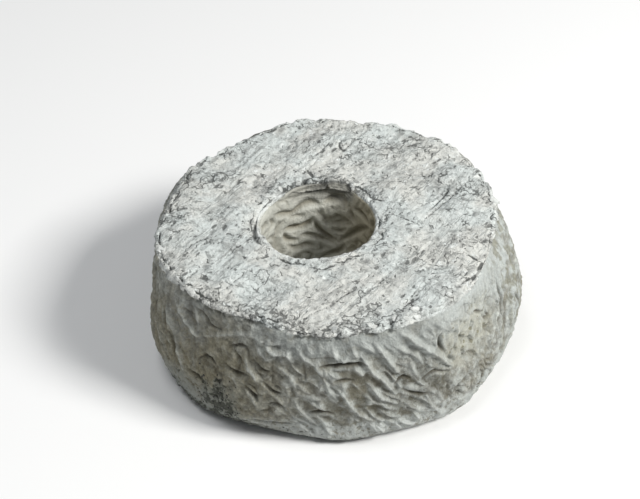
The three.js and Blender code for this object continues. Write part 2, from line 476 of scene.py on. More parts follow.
# The lines of the relief. The geometry asks for them to raise it and the material, with a
# smaller width, to shade it, so both draw the same lines from the same plain places.
def sideLines(s, place, width=1.0):
    netted, calmLeft, hollow, pleated = s.layers("netted", "calmLeft", "hollow", "pleated")
    leaning = s.stretched(s.rotated(place, angle=s.layer("height") * 0.014), (1, 1, 0.5))
    web = s.cells(s.warped(s.warped(leaning, 0.22, 3.2), 0.75, 1.0), 0.21, "DISTANCE_TO_EDGE")
    worn = s.patches(0.36, 0.56, place, 0.17)
    worm = (s.noise(place, 0.15, 1.3, 0.55, Distortion=0.5) - 0.5) * 7 + s.layer("sideFolds") * 0.3
    ripple = (s.noise(place, 0.3, 1.4, 0.55, Distortion=0.5) - 0.5) * 7
    broken = s.patches(0.4, 0.6, place, 0.1)
    calm = (1 - calmLeft * (0.7 - 0.5 * broken)) * (1 - hollow * 0.9) * (1 - pleated * 0.85)
    crest = s.bell(web / (0.13 * width)) * (0.1 + 0.8 * worn) * netted * calm
    crease = s.cusp(worm / (0.32 * width)) * (0.35 + 0.75 * broken) * (1 - netted) * calm
    wrinkle = s.cusp(ripple / (0.4 * width)) * (0.6 + 0.4 * broken) * (1 - 0.88 * netted)
    wrinkle = wrinkle * (1 - hollow) * (1 - calmLeft * 0.65) * (1 - pleated * 0.5)
    return crest, crease, wrinkle, calm


def topLines(s, place, away, strength, width=1.0):
    radius, smoothRim = s.layers("ringRadius", "smoothRim")
    drawn = s.bell((away + (s.noise(place, 0.9) - 0.5) * 1.6) / width) * strength
    # A dark line just inside the rim: a groove in the relief and, in the material, painted shadow
    # under the crust's edge.
    edge = radius + (s.noise(place, 0.3, 3) - 0.5) * 4 - around["rimLine"]
    edge = s.bell(edge / (0.45 * width))
    edge = edge * s.patches(0.46, 0.54, place, 0.34, 3) * (1 - 0.85 * smoothRim)
    lip = radius + (s.noise(place, 0.25, 3) - 0.5) * 5 - wheel["holeRadius"] - around["lipLine"]
    lip = s.bell(lip / (0.45 * width))
    lip = lip * s.patches(0.46, 0.56, place, 0.15, 3) * 0.8
    hook = s.bell((s.noise(s.warped(place, 0.9, 0.7), 0.2, 2, 0.6) - 0.5) / (0.03 * width))
    hook = hook * s.patches(0.58, 0.66, place, 0.3) * 0.65
    return s.most(drawn, hook, edge, lip) * s.layer("onTop")


def holeLines(s, place, away, strength, width=1.0, sharper=1.0):
    flat = s.stretched(place, (1, 1, 1.35))
    wave = (s.noise(flat, 0.1, 1, 0.5, Distortion=0.7) - 0.5) * 7 + s.layer("holeFolds") * 0.15
    other = (s.noise(s.shifted(flat, (40, 0, 0)), 0.075, 1, 0.5, Distortion=0.6) - 0.5) * 7
    worms = s.most(s.bell(wave / (0.42 * width)), s.bell(other / (0.34 * width)) * 0.85)
    worms = worms * (0.7 - 0.7 * s.bell(away / 3.0))  # fainter beside the drawn creases
    return s.most(worms, s.bell(away * sharper) * strength)


def sideReach(s, z):  # how much of the side's folds shows, less towards the foot and the rim
    height = wheel["height"]
    return s.smooth(z, 0.5, 6) * s.smooth(z, height - 1, height - 7)


def holeReach(s, z):  # the same for the folds of the hole
    height = wheel["height"]
    return s.smooth(z, 1, 5) * s.smooth(z, height - 0.5, height - 3.5)


def nearLines(s, crestAway, creaseAway):  # 1 on a drawn line and a little beside it
    return s.most(s.bell(crestAway / 3.2), s.bell(creaseAway / 3.2))


def rindGrain(s, place):  # the small unevenness of the side
    return s.noise(s.warped(place, 0.5, 1.5), 0.42, 4, 0.62)


# How wide the drawn lines of each kind are, in millimetres.
lineWidths = {"Crests": 0.65, "Creases": 0.5, "Cracks": 0.5, "Hole Creases": 1.05}


def rindRelief():  # raises the folds and creases of the rind on the plain wheel
    inputs = {
        "Wheel": "Geometry",
        **{key: "Object" for key in lineWidths},
        "Fold Depth": 1.0,
        "Hole Fold Depth": 1.35,
        "Crest Height": 1.3,
        "Crease Depth": 1.1,
        "Rim Chips": 0.7,
        "Tear Depth": 2.5,
        "Plaque Depth": 0.22,
        "Rind": "Material",
    }
    tree, s, given, end = newTree("GeometryNodeTree", "rindRelief", inputs, {"Wheel": "Geometry"})
    place = s.layer("plainPlace", "FLOAT_VECTOR")  # in millimetres
    here = s.scaled(place, mm)
    z = s.layer("height")
    radius = s.layer("ringRadius")
    onSide, onTop, netted, smoothRim = s.layers("onSide", "onTop", "netted", "smoothRim")
    height = wheel["height"]
    mouth = wheel["holeRadius"]

    def nearestLine(key):  # how far off a drawn line is, in its own widths, and its strength there
        curve = s.add("GeometryNodeObjectInfo", {"Object": given[key]}).outputs["Geometry"]
        path = s.add("GeometryNodeCurveSplineType", {"Curve": curve}, spline_type="CATMULL_ROM")
        feeds = {"Curve": path.outputs[0], "Length": 0.25 * mm}
        points = s.add("GeometryNodeCurveToPoints", feeds, mode="LENGTH").outputs["Points"]
        nearest = s.add("GeometryNodeSampleNearest", {"Geometry": points}).outputs[0]

        def sampled(value, kind):
            feeds = {"Geometry": points, "Value": value, "Index": nearest}
            return s.out(s.add("GeometryNodeSampleIndex", feeds, data_type=kind))

        at = sampled(s.add("GeometryNodeInputPosition").outputs[0], "FLOAT_VECTOR")
        strength = sampled(s.add("GeometryNodeInputRadius").outputs[0], "FLOAT")
        away = s.vector("DISTANCE", here, at, output="Value") * 1000
        return s.capped(away / (lineWidths[key] * (0.5 + strength * 0.5)), 6.0), strength

    # The side's own folds: a leaning net of crests in front, worm-like folds elsewhere.
    crest, crease, wrinkle, calm = sideLines(s, place)
    fold = (0.35 - 0.7 * netted) * calm + crest * 1.5 - crease * 1.25 - wrinkle * 0.75 + 0.2
    flutes = s.noise(s.stretched(place, (1, 1, 0.12)), 0.42, 2, 0.6) - 0.5
    fluted = s.smooth(z, height - 9, height - 2) * 0.9
    fluted = fluted + s.layer("pleated") * 2.2 + s.layer("blueLeft") * 1.6 + 0.3
    lump = s.layer("lumps") * 0.55 * s.smooth(z, 0, 8)
    pits = s.patches(0.5, 0.66, place, 0.4, 3, 0.65) * s.layer("hollow") * -1.5

    # The lines that stand out singly.
    crestAway, crestStrength = nearestLine("Crests")
    creaseAway, creaseStrength = nearestLine("Creases")
    knobbly = (s.noise(place, 0.65, 3, 0.6) - 0.5) * 2.2
    crestAway = s.math("ABSOLUTE", crestAway + knobbly * s.smooth(crestAway, 4, 1))
    lone = s.bell(crestAway) * crestStrength * given["Crest Height"]
    lips = s.bell((creaseAway - 2.2) / 0.9) * 0.35 - s.bell(creaseAway)
    lone = lone + lips * creaseStrength * given["Crease Depth"]
    near = nearLines(s, crestAway, creaseAway)
    folded = sideReach(s, z) * (fold * given["Fold Depth"] * (1 - 0.8 * near) + lone)
    fine = (rindGrain(s, place) - 0.5) * (1.3 - 0.5 * netted) * (1 + 0.6 * s.smooth(z, 11, 6))
    side = folded + lump + pits + flutes * fluted * 0.7 + fine * s.smooth(z, 0.3, 3)

    # The rim: a chipped crust that overhangs a thin dark gap.
    ragged = s.noise(place, 0.42, 4, 0.65) - 0.5
    gap = s.bell((z - (height - 2.1) + ragged * 2.5) / 0.6) * s.layer("overhung")
    gap = gap * s.patches(0.46, 0.56, place, 0.3, 3)
    chipped = s.smooth(z, height - 2.2, height - 0.8)
    chipped = chipped * (1 - 0.85 * smoothRim) * (1 - 0.5 * s.layer("calmLeft"))
    chip = s.smooth(s.layer("chips"), 0, 1.6)
    rim = chipped * (ragged * 2.0 * given["Rim Chips"] - chip) - gap * 1.3
    rim = rim - s.smooth(z, height - 4.5, height - 0.3) * smoothRim * 1.1

    # The flat top: plaques of crust, the print of the mat it drained on, cracks, shallow dents.
    plaque = s.cells(s.warped(place, 0.12, 5.0), 0.16, "DISTANCE_TO_EDGE")
    topFine = (s.smooth(plaque, 0.0, 0.14) - 0.7) * given["Plaque Depth"]
    for degrees, along, depth in ((-matDegrees, 0.1, 0.35), (90 - matDegrees, 0.14, 0.2)):
        streaks = s.noise(s.stretched(s.rotated(place, degrees), (along, 1, 1)), 0.6)
        topFine = topFine + (streaks - 0.5) * depth
    topFine = topFine + (s.noise(place, 0.5, 4, 0.65) - 0.5) * 1.1
    crackAway, crackStrength = nearestLine("Cracks")
    crack = topLines(s, place, crackAway, crackStrength)
    atMouth = s.smooth(radius, mouth + 2.2, mouth + 0.6)
    top = s.layer("dents") * 0.3 + topFine - crack * 0.8 + ragged * atMouth * 1.2

    # The hole: rounded folds like worms, with narrow creases between them.
    holeAway, holeStrength = nearestLine("Hole Creases")
    worms = holeLines(s, place, holeAway, holeStrength)
    inHole = holeReach(s, z) * (0.6 - worms) * given["Hole Fold Depth"] + fine * 0.4

    # Where the crust round the mouth is torn away, at the back.
    tear = s.layer("torn") * s.smooth(radius + ragged * 7, mouth + 3.3, mouth + 2.1)
    onlySide = onSide * (1 - onTop)
    relief = onlySide * side + onSide * rim + onTop * top + s.layer("onHole") * inHole
    relief = relief - tear * given["Tear Depth"] * (0.8 + s.noise(place, 0.5) * 0.5)
    push = s.scaled(s.layer("rindNormal", "FLOAT_VECTOR"), relief * mm)
    moved = s.vector("MAXIMUM", s.shifted(here, push), (-1, -1, 0))  # nothing under the table
    placed = s.add("GeometryNodeSetPosition", {"Geometry": given["Wheel"], "Position": moved})

    result = placed.outputs[0]
    rimFlakes = s.bell((radius - around["rimFlakes"]) / 1.2)
    rimFlakes = rimFlakes * (0.12 + 0.88 * s.layer("flakyRim")) * (1 - smoothRim)
    lipFlakes = s.bell((radius - mouth - around["lipFlakes"]) / 0.9) * 0.25 * (1 - s.layer("torn"))
    ashCover = s.layer("ashPatch") + s.layer("ashFoot") * 0.7
    marks = {
        "crestAway": crestAway,
        "crestStrength": crestStrength,
        "creaseAway": creaseAway,
        "creaseStrength": creaseStrength,
        "crackAway": crackAway,
        "crackStrength": crackStrength,
        "holeAway": holeAway,
        "holeStrength": holeStrength,
        "lifted": onlySide * folded + onTop * topFine,
        "tear": tear,
        "flaky": onTop * s.patches(0.42, 0.56, place, 0.2, 3) * (rimFlakes + lipFlakes),
        "ashy": onlySide * ashCover * s.smooth(z, 0.6, 1.6),
    }
    for name, value in marks.items():
        feeds = {"Geometry": result, "Name": name, "Value": value}
        result = s.add("GeometryNodeStoreNamedAttribute", feeds, data_type="FLOAT").outputs[0]
    dressInto(s, end, result, given["Rind"])
    return tree


def dressInto(s, end, geometry, finish):  # the end of every geometry tree
    real = s.add("GeometryNodeRealizeInstances", {"Geometry": geometry}).outputs[0]
    dressed = s.add("GeometryNodeSetMaterial", {"Geometry": real, "Material": finish})
    s.feed(end.inputs[0], dressed.outputs[0])


def setInputs(modifier, values):  # by each socket's identifier, as the modifier keeps them
    for item in modifier.node_group.interface.items_tree:
        if item.item_type == "SOCKET" and item.in_out == "INPUT" and item.name in values:
            modifier[item.identifier] = values[item.name]


def frozen(piece):  # turns what the modifiers make into the piece's own plain mesh
    graph = bpy.context.evaluated_depsgraph_get()
    evaluated = piece.evaluated_get(graph)
    mesh = bpy.data.meshes.new_from_object(evaluated, preserve_all_data_layers=True, depsgraph=graph)
    piece.modifiers.clear()
    piece.data = mesh
    mesh.name = piece.name
    return piece


def newPiece(name, data):
    piece = bpy.data.objects.new(name, data)
    bpy.context.scene.collection.objects.link(piece)
    return piece


# The folds that stand out singly: a strength, then the places (bearing, height) they run through.
crestLines = [
    (1.3, [(19, 38), (23.1, 34.5), (27.2, 30.2), (31.4, 26.3), (34.7, 22.4), (37.6, 19)]),
    (1.0, [(11.7, 35.5), (13.9, 32.3), (15.6, 29.5), (17.7, 26.3), (19.2, 24)]),
    (1.05, [(7.3, 32.3), (9, 29.5), (10.6, 26.7), (13.1, 24.2), (14.8, 21.7), (17.2, 18)]),
    (1.0, [(9.2, 23), (11.5, 19.5), (14, 17.1), (17.4, 14.6)]),
    (0.85, [(-0.4, 22.4), (1.9, 18.8), (3.8, 15.2), (5, 12.6)]),
    (0.8, [(-4.2, 25.4), (-2.8, 21.6), (-0.4, 17.6)]),
    (0.7, [(-1.8, 36.8), (-0.8, 33.6), (0.4, 31)]),
    (0.6, [(4.6, 36), (5.6, 32.4), (8, 32)]),
    (0.75, [(17, 34), (20.6, 31.3), (24.7, 28.1), (26.6, 25)]),
    (0.8, [(22.4, 28.4), (23.2, 24), (25.6, 20.4)]),
    (0.75, [(3.6, 15), (6, 12.4), (10.8, 9)]),
    (0.7, [(20.6, 19.6), (24, 17.6), (28.4, 16.8)]),
    (0.75, [(20.4, 13.8), (23.9, 10.3), (27.6, 8)]),
    (0.75, [(27.6, 16.4), (31.4, 12), (32.8, 8)]),
    (0.7, [(28, 20.2), (32.6, 20.4), (37.2, 18.8)]),
    (0.7, [(12, 13.6), (15, 10.6), (18.6, 9)]),
    (0.7, [(-19.4, 28.4), (-14.6, 25.4), (-13.2, 21.4)]),
    (0.6, [(-11.6, 24.4), (-7.4, 24.8)]),
    (0.6, [(-11.4, 18.8), (-7, 18.4), (-3.8, 18.8)]),
    (1.0, [(-23.2, 34.2), (-20.5, 32), (-15.5, 32.2), (-14.2, 29.8)]),
    (0.9, [(-26, 32.4), (-22.6, 29.8), (-19.6, 30.4)]),
    (0.75, [(-29, 29.4), (-28.5, 25.6), (-26, 23.4), (-24.5, 19.6)]),
    (0.6, [(-29, 18.6), (-26.5, 16.2), (-25.5, 11.8)]),
    (0.75, [(-61.5, 33), (-59.5, 28), (-56.5, 24.6), (-55, 21), (-53.4, 16.4), (-53, 12)]),
    (0.6, [(-46.5, 28.6), (-39.5, 31.4), (-33.5, 33.6), (-28, 34.8), (-24, 34), (-17, 35)]),
    (0.6, [(-67, 35), (-65.4, 29), (-66.6, 23)]),
    (0.7, [(-59, 35.8), (-56, 33.6), (-52.5, 31), (-49, 28.4), (-46.5, 28)]),
    (0.6, [(-50.8, 36.2), (-48.2, 33.6), (-48, 29.6)]),
    (0.45, [(-50, 21.8), (-48.2, 19.4), (-49.4, 16.8)]),
    (0.45, [(-36.6, 21), (-33, 20.4), (-31.4, 17.8)]),
    (0.4, [(-21, 18.6), (-18, 16.8), (-16.4, 13.6)]),
    (0.5, [(-17.5, 35), (-15.5, 30.5)]),
    (0.6, [(-13.6, 17.4), (-11.8, 13), (-9, 9.6), (-6.6, 7.4)]),
    (0.6, [(-70, 26), (-64, 20), (-60, 13)]),
    (0.9, [(79.5, 29), (75.5, 24.8), (71, 21), (69, 15.2), (67, 10.6)]),
    (0.8, [(78.5, 35.4), (74, 32.8), (69.5, 31.6)]),
    (0.7, [(63.5, 29.6), (63.5, 24), (60.5, 21.2), (62, 15.8)]),
    (0.8, [(65, 10.6), (63, 6.6), (60, 4.8)]),
]
creaseLines = [
    (1.3, [(-5, 29.1), (2, 29.6), (8.6, 29.5)]),
    (0.8, [(-7.8, 31.7), (-0.8, 32)]),
    (0.7, [(-1, 24.2), (1.5, 24.7), (4.6, 24.3)]),
    (0.8, [(-10.4, 30), (-10, 25)]),
    (0.7, [(-14.2, 21.5), (-13.6, 18.5)]),
    (0.9, [(-37, 23.8), (-33, 22.6), (-28, 22.5)]),
    (1.1, [(-29, 19.2), (-26.6, 17.6), (-25.3, 15.4)]),
    (0.8, [(-23, 22), (-20, 19.6), (-17.6, 19.2)]),
    (0.9, [(-51, 15.2), (-47, 15.6), (-44.4, 14.4), (-43.8, 12.6)]),
    (0.9, [(-46.5, 21.4), (-44, 23.4), (-41.5, 23), (-40.2, 21.6)]),
    (0.7, [(-44.5, 20.8), (-45, 18.4)]),
    (0.7, [(-51, 36), (-46, 35.4), (-43.5, 33.2), (-39.5, 32.8)]),
    (0.8, [(-31, 31.2), (-29, 30), (-28.4, 27.5)]),
    (0.8, [(17.5, 21.4), (19.5, 22.8), (22, 21.6)]),
    (0.9, [(26.5, 19.5), (31, 20.6), (36, 18)]),
    (0.8, [(30, 14), (32.5, 9.5)]),
    (0.7, [(21, 12), (27, 8.5)]),
    (0.6, [(-24, 6.4), (-20, 7.2), (-15, 6.6)]),
    (1.1, [(-62.4, 31), (-61.4, 26.4), (-60.4, 23.6)]),
    (0.9, [(34, 32), (33, 30.2), (33.6, 27.4), (35, 25)]),
    (0.7, [(50.5, 15.6), (56.5, 11.6)]),
    (0.7, [(51.5, 13.6), (52.5, 10.6), (59, 6.4)]),
    (0.7, [(-49.4, 24.6), (-46.6, 26)]),
    (0.8, [(-52.8, 30.4), (-51.6, 29.6)]),
    (0.8, [(-27, 28), (-24.4, 26), (-21.4, 25.6)]),
    (0.8, [(-35.5, 29.2), (-32, 30.6), (-29, 30.8)]),
    (1.1, [(-59.6, 23.8), (-57, 20.2), (-56.4, 15.6)]),
    (0.7, [(-51.6, 19.6), (-49.6, 17.6)]),
    (0.7, [(-56, 29), (-54.6, 26.4)]),
    (0.7, [(-41, 18.6), (-38.6, 17.2), (-37.2, 18.6)]),
    (0.6, [(-22.4, 14.6), (-19.6, 15.4), (-17, 14)]),
    (0.7, [(-67, 29.4), (-66, 24.6)]),
    (0.7, [(-70, 20), (-66.4, 15.6)]),
    (0.8, [(19.6, 18.8), (24.4, 15.4), (27.4, 14.8)]),
    (0.6, [(-9.6, 12.6), (-5.6, 13.4), (-1.6, 12.2)]),
    (0.8, [(49, 31.2), (51, 30), (54.4, 27.4)]),
    (0.9, [(54.6, 25.8), (56.6, 24.2), (58.8, 24.8)]),
    (0.8, [(57, 28.6), (59.4, 26.6)]),
    (0.7, [(61, 32.6), (63.6, 31.4)]),
    (0.7, [(41, 20), (46, 19.2), (48.5, 15.6)]),
    (0.7, [(44, 13.2), (46.4, 9.4)]),
    (0.8, [(66.4, 34.6), (65.8, 29.4), (66.6, 25), (65, 21.4), (65.8, 16.2)]),
    (0.7, [(84, 16.6), (90.5, 19), (91.5, 23.4)]),
    (0.7, [(74, 21), (77.4, 17.4), (79, 12.6)]),
]

# The same for the folds of the hole's wall.
holeCreases = [
    (1.0, [(231, 34.4), (220, 33), (208, 31.6), (201, 32.4), (194, 33.2), (186, 33.4), (178, 32.8)]),
    (1.1, [(174, 33), (167, 34.2), (158, 35), (152, 34.2), (150, 32.4)]),
    (1.2, [(219, 26.6), (210, 26.2), (199, 25.4), (191, 26.2), (186, 28)]),
    (1.0, [(218, 25.8), (217, 23.6), (211, 21.6), (202, 21)]),
    (1.1, [(185, 27.2), (181, 24.2), (176, 22.2), (169, 20.4), (160, 19.4)]),
    (0.7, [(165, 24.2), (158, 23.6), (150, 25)]),
    (1.0, [(139, 33.8), (128, 34), (119, 33.2), (114, 32)]),
    (0.9, [(158, 19.6), (147, 23), (134, 26.8), (116, 30.8)]),
    (0.8, [(202, 22), (192, 22), (182, 20.8), (172, 19.4), (162, 18.2)]),
    (0.8, [(217, 21.2), (206, 18.2), (193, 18.4), (184, 17.2)]),
    (0.9, [(180, 13), (170, 14.4), (159, 16.2), (152, 19)]),
    (0.7, [(172, 32.6), (170, 30.4)]),
    (0.8, [(242, 34.8), (234, 32.2), (244, 31.4)]),
    (0.7, [(195, 29.4), (204, 30.2), (212, 29.8)]),
    (0.8, [(147, 34.8), (142, 31), (138, 28.4)]),
]

# Cracks in the top: a strength, then the places (x, y) in millimetres they run through.
topCracks = [
    (0.9, [(27.5, -0.5), (29.4, 2.6)]),
    (1.1, [(31, 6), (33.4, 9.6), (34, 12.4)]),
    (0.9, [(36.5, 13.4), (38.6, 17.2)]),
    (0.7, [(41, 18.8), (43, 21.5)]),
    (2.1, [(42.4, -18.9), (41.4, -20.8), (39.8, -22.4), (38.6, -25.4)]),
    (1.4, [(38.4, -26), (37.4, -27.4), (35.4, -29), (33.6, -31)]),
    (1.1, [(36, -18.6), (38, -20), (40.4, -21.6)]),
    (1.5, [(24.8, -24), (26, -22)]),
    (1.0, [(27.6, -19.4), (28.7, -16.4)]),
    (0.9, [(27.2, -28.4), (29.3, -28.5)]),
    (0.8, [(34, -28.4), (35.6, -25.8), (36, -23)]),
    (0.6, [(17.4, -41), (22, -41.8), (26, -41), (30, -37.5)]),
    (0.9, [(17.4, -38.9), (20.6, -36.2), (24.3, -33.3)]),
    (1.0, [(-7.6, -20), (-3.4, -21.8), (-0.7, -21), (2.8, -19.6)]),
    (0.8, [(2.8, -20), (5.6, -21.8)]),
    (1.6, [(-14.9, -15.2), (-12.2, -18.2), (-8.6, -19.3)]),
    (1.4, [(-20.6, 3), (-21.3, -2.1), (-21.4, -7), (-19.2, -11.2)]),
    (1.5, [(-11.6, 14.2), (-10.8, 12.6), (-9.8, 13.8)]),
    (1.3, [(-8.4, 16.4), (-7.2, 18.6), (-4.9, 19.6), (-6.2, 22.3), (-8, 20.6)]),
    (1.1, [(-13.4, 13.2), (-16, 9.8), (-18.6, 6.4), (-20.4, 3.4)]),
    (1.2, [(12.6, 1), (13.3, -3), (12.6, -6.4)]),
    (0.9, [(6.3, 38.8), (3.5, 35.4), (5, 31.5), (9.5, 32)]),
    (0.8, [(17.4, 36.7), (18, 34.6), (20.2, 33)]),
    (0.8, [(-40.5, -25), (-37.6, -21.6), (-35, -18.5)]),
    (0.8, [(14, 4), (17, 1), (21, -2.6), (26.5, -6)]),
    (0.8, [(-30, -24), (-27, -27), (-22, -28.4)]),
    (0.9, [(8, -30), (2.4, -33.6), (-2, -38)]),
    (0.6, [(-8.9, -36.9), (0, -31), (10.5, -23.8)]),
    (0.65, [(20.5, -0.6), (30, 7.8), (40.1, 18.4)]),
    (0.75, [(26, -1), (30.4, 5), (35.6, 13.9)]),
    (0.85, [(13.5, -43), (20.3, -35.7), (27.3, -26.6)]),
    (0.55, [(10.1, -31.9), (19.1, -21.1)]),
    (0.6, [(-9.3, 20.1), (-4.6, 25.5), (-0.9, 33.2)]),
    (0.5, [(-39.6, -22.1), (-30.2, -14.4)]),
    (0.6, [(-35.4, -20.8), (-28.2, -11.2)]),
    (0.65, [(-10, -43), (-2.6, -37.3), (3.7, -33)]),
    (0.5, [(20.9, -11.1), (31.4, -3.1)]),
]

# Long straight traces of the mat: a strength, x and y where one starts, length, degrees from +X.
matTraces = [
    (0.7, -10, 22, 26, 52),
    (0.63, 2, 28, 18, 54),
    (0.7, 22, -8, 30, 51),
    (0.7, -42, -14, 14, 50),
    (0.7, 4, -38, 24, 49),
    (0.63, 14, -30, 22, 52),
    (0.56, -34, 8, 20, 53),
    (0.63, -30, -30, 12, 50),
    (0.56, -2, -26, 14, 51),
    (0.56, 28, -20, 16, 54),
]
traceStops = (0, 0.35, 0.7, 1)  # shares of a trace's length
for strength, x, y, length, degrees in matTraces:
    ahead = (length * math.cos(math.radians(degrees)), length * math.sin(math.radians(degrees)))
    topCracks.append((strength, [(x + t * ahead[0], y + t * ahead[1]) for t in traceStops]))


thinEnd = 0.35  # how strong a drawn line still is where it ends


def drawnLines(name, lines, pointAt):  # curves on the plain wheel
    curve = bpy.data.curves.new(name, "CURVE")
    curve.dimensions = "3D"
    for strength, spots in lines:
        spline = curve.splines.new("POLY")
        spline.points.add(len(spots) - 1)
        for i, spot in enumerate(spots):
            spline.points[i].co = (*pointAt(*spot), 1)
            atEnd = i in (0, len(spots) - 1)
            spline.points[i].radius = strength * (thinEnd if atEnd else 1)
    return newPiece(name, curve)


# Materials. The groups put out masks and colours; each material has its own shader.
def ashSpecksGroup():  # dark grains that gather in clusters
    inputs = {"Place": "Vector", "Per mm": 0.9, "Amount": 0.5, "Size": 0.3}
    tree, s, given, end = newTree("ShaderNodeTree", "ashSpecks", inputs, {"Mask": "Float"})
    amount = given["Amount"]
    away = s.cells(s.warped(given["Place"], 1.1, 1.0), given["Per mm"])
    cluster = s.noise(given["Place"], 0.15, 4, 0.65)
    size = given["Size"] * s.smooth(cluster, 0.64 - 0.3 * amount, 0.8 - 0.25 * amount)
    s.feed(end.inputs[0], s.smooth(away, size, size * 0.6))
    return tree


def hookLinesGroup():  # short curled dark lines, the broken contours of a noise
    inputs = {"Place": "Vector", "Per mm": 0.3, "Width": 0.03, "Shown": 0.5}
    tree, s, given, end = newTree("ShaderNodeTree", "hookLines", inputs, {"Mask": "Float"})
    place = given["Place"]
    scale = given["Per mm"]
    shown = 0.3 * given["Shown"]
    away = s.math("ABSOLUTE", s.noise(s.warped(place, 0.9, 0.8), scale, 2, 0.6) - 0.5)
    patch = s.noise(place, scale * 1.2, 2, 0.6) + (s.noise(place, 0.08) - 0.5) * 0.8
    width = given["Width"] * s.smooth(patch, 0.66 - shown, 0.84 - shown)
    s.feed(end.inputs[0], s.smooth(away, width * 1.25, width * 0.2))
    return tree


def matPrintGroup():  # the streaks that the draining mat left, one way across the top
    inputs = {"Place": "Vector", "Degrees": matDegrees, "Per mm": 0.8, "Shown": 0.5}
    outputs = {"Mask": "Float", "Height": "Float"}
    tree, s, given, end = newTree("ShaderNodeTree", "matPrint", inputs, outputs)
    angle = -1 * s.math("RADIANS", given["Degrees"])
    turned = s.rotated(s.warped(given["Place"], 0.6, 0.6), angle=angle)
    lines = s.noise(s.stretched(turned, (0.1, 1, 1)), given["Per mm"], 2, 0.55)
    patch = s.noise(s.stretched(turned, (0.35, 1, 1)), 0.13, 2, 0.6)
    shown = 0.3 * given["Shown"]
    shown = s.smooth(patch, 0.65 - shown, 0.78 - shown)
    trace = s.smooth(s.math("ABSOLUTE", lines - 0.5), 0.03, 0.012)
    s.feed(end.inputs["Mask"], s.most(s.smooth(lines, 0.5, 0.36) * 0.5, trace) * shown)
    s.feed(end.inputs["Height"], (lines - 0.5) * shown)
    return tree


def chalkBloomGroup():  # pale mould over grey ash, thicker and thinner from place to place
    inputs = {
        "Place": "Vector",
        "Warm": (0.645, 0.65, 0.615, 1),
        "Cool": (0.62, 0.66, 0.645, 1),
        "Ash": (0.34, 0.35, 0.34, 1),
        "Thin": 0.5,
    }
    tree, s, given, end = newTree("ShaderNodeTree", "chalkBloom", inputs, {"Color": "Color"})
    place = given["Place"]
    tone = s.blend(given["Warm"], given["Cool"], s.patches(0.4, 0.6, place, 0.06, 3, 0.6))
    curls = s.noise(s.warped(place, 0.45, 1.6), 0.42, 3, 0.6)
    patchy = s.noise(place, 0.11, 3, 0.6) * 0.45 + curls * 0.4 + s.noise(place, 1.1, 3, 0.7) * 0.35
    thin = 0.16 * given["Thin"]
    s.feed(end.inputs[0], s.blend(tone, given["Ash"], s.smooth(patchy, 0.68 - thin, 0.86 - thin)))
    return tree


groups = {
    "ashSpecks": ashSpecksGroup(),
    "hookLines": hookLinesGroup(),
    "matPrint": matPrintGroup(),
    "chalkBloom": chalkBloomGroup(),
}


# A material's node tree, with its shader and the piece's own places in millimetres.
class Finish(Sheet):
    def __init__(self, name, roughness):
        self.material = bpy.data.materials.new(name)
        self.material.use_nodes = True
        super().__init__(self.material.node_tree)
        self.inputs = self.tree.nodes["Principled BSDF"].inputs
        self.inputs["Roughness"].default_value = roughness
        self.inputs["Specular IOR Level"].default_value = sheen
        self.place = self.scaled(self.add("ShaderNodeTexCoord").outputs["Object"], 1000.0)

    def group(self, name, output=0, at=None, **values):
        made = self.add("ShaderNodeGroup", node_tree=groups[name])
        self.feed(made.inputs["Place"], self.place if at is None else at)
        for label, value in values.items():
            self.feed(made.inputs[label.replace("_", " ")], value)
        return self.out(made, output)

    def bumps(self, height, strength, millimetres):
        feeds = {"Height": height, "Strength": strength, "Distance": millimetres * mm}
        self.feed(self.inputs["Normal"], self.add("ShaderNodeBump", feeds).outputs[0])


# A colour that is laid on coat by coat.
class Coats:
    def __init__(self, sheet, colour):
        self.sheet = sheet
        self.colour = colour

    def lay(self, colour, cover):  # a colour, or the name of one of the rind's
        if isinstance(colour, str):
            colour = rindLooks[colour]
        self.colour = self.sheet.blend(self.colour, colour, cover)

    def shade(self, by, cover):  # darker below 1, lighter above
        self.lay(self.sheet.scaled(self.colour, by), cover)


sheen = 0.25  # the shaders' specular level
rindLooks = {
    # creaseBrown is painted shade laid in the side's creases
    "creaseBrown": (0.075, 0.066, 0.048, 1),
    "tan": (0.165, 0.155, 0.115, 1),
    "sideGrey": (0.26, 0.262, 0.235, 1),
    # brownGrey is a browner rind and also painted shade in the low places and on the left
    "brownGrey": (0.2, 0.184, 0.13, 1),
    "filmBlue": (0.42, 0.445, 0.425, 1),
    "bandBlue": (0.3, 0.32, 0.31, 1),
    "pitOlive": (0.17, 0.16, 0.1, 1),
    "leftBlue": (0.27, 0.277, 0.262, 1),
    # crestPale is a painted highlight on the crests and high places of the side
    "crestPale": (0.49, 0.51, 0.483, 1),
    "footGrey": (0.3, 0.315, 0.29, 1),
    "drapePale": (0.45, 0.478, 0.466, 1),
    "footPale": (0.47, 0.495, 0.48, 1),
    "hollowStraw": (0.42, 0.42, 0.36, 1),
    "tornGrey": (0.27, 0.267, 0.238, 1),
    "ashBlack": (0.05, 0.053, 0.041, 1),
    "ashGreen": (0.2, 0.212, 0.19, 1),
    "crackBlack": (0.06, 0.063, 0.06, 1),
    "printGrey": (0.27, 0.28, 0.27, 1),
    "chalkWhite": (0.78, 0.81, 0.79, 1),
    "holeBeige": (0.56, 0.565, 0.51, 1),
    # holeOlive is the hole's olive stain and painted shade on its right wall
    "holeOlive": (0.36, 0.305, 0.19, 1),
    # holeCrease is painted shade in the hole's creases
    "holeCrease": (0.17, 0.14, 0.085, 1),
}


